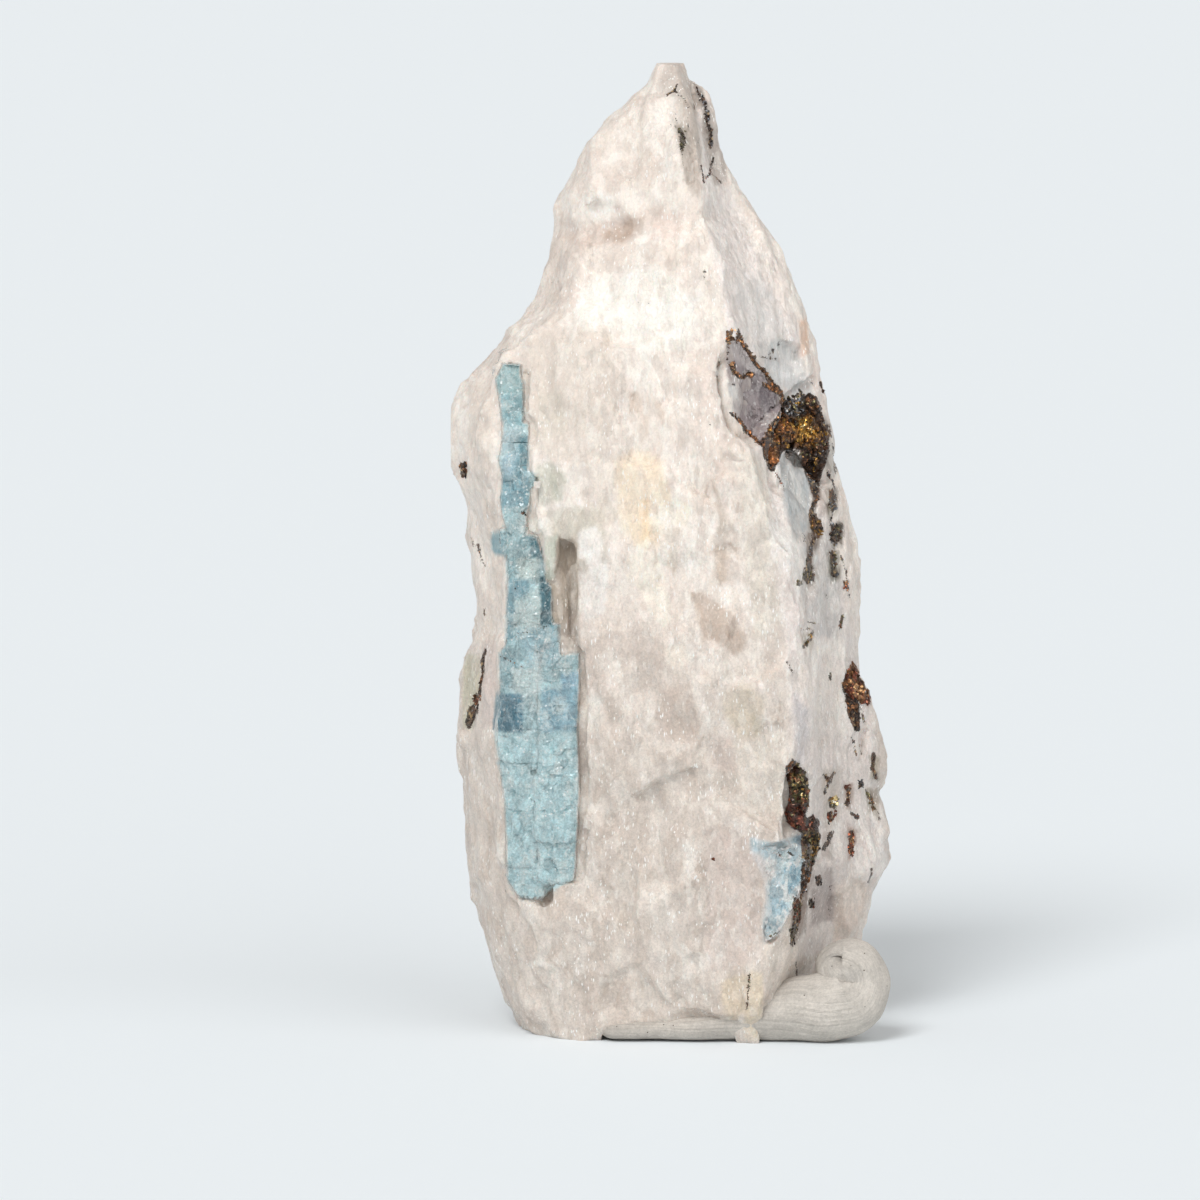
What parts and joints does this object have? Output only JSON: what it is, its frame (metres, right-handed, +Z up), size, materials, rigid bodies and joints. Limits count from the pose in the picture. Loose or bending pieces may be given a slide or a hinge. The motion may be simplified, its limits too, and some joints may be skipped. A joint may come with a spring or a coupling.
{
  "type": "aquamarine mineral specimen",
  "caption": "Tall pointed splinter of white quartz and feldspar with blue aquamarine prisms in its front, smoky quartz and brown mica on its side, and a roll of putty under its foot.",
  "frame": {"origin": "on the flat face that it stands on, under the middle of the foot", "axes": "+Z up along the specimen, -Y out of the front that shows the blue prisms, +X to its right as seen from there"},
  "size_m": [0.0262, 0.0193, 0.0569],
  "materials": {
    "white_quartz": "rough, slightly see-through",
    "aquamarine": "glassy and cracked",
    "smoky_quartz": "glassy",
    "mica": "glittering scales",
    "putty": "matte"
  },
  "bodies": {
    "root": {"matrix_rock": "white_quartz", "aquamarine_main": "aquamarine", "aquamarine_patch": "aquamarine", "smoky_quartz": "smoky_quartz", "putty_roll": "putty", "mica_cluster_upper": "mica", "mica_vein_middle": "mica", "mica_vein_right": "mica", "mica_edge_right": "mica", "mica_cluster_lower": "mica", "mica_streak_lower": "mica", "mica_grain_left": "mica", "mica_seam_left": "mica", "mica_seam_tip": "mica", "mica_blade_tip": "mica"}
  },
  "joints": []
}
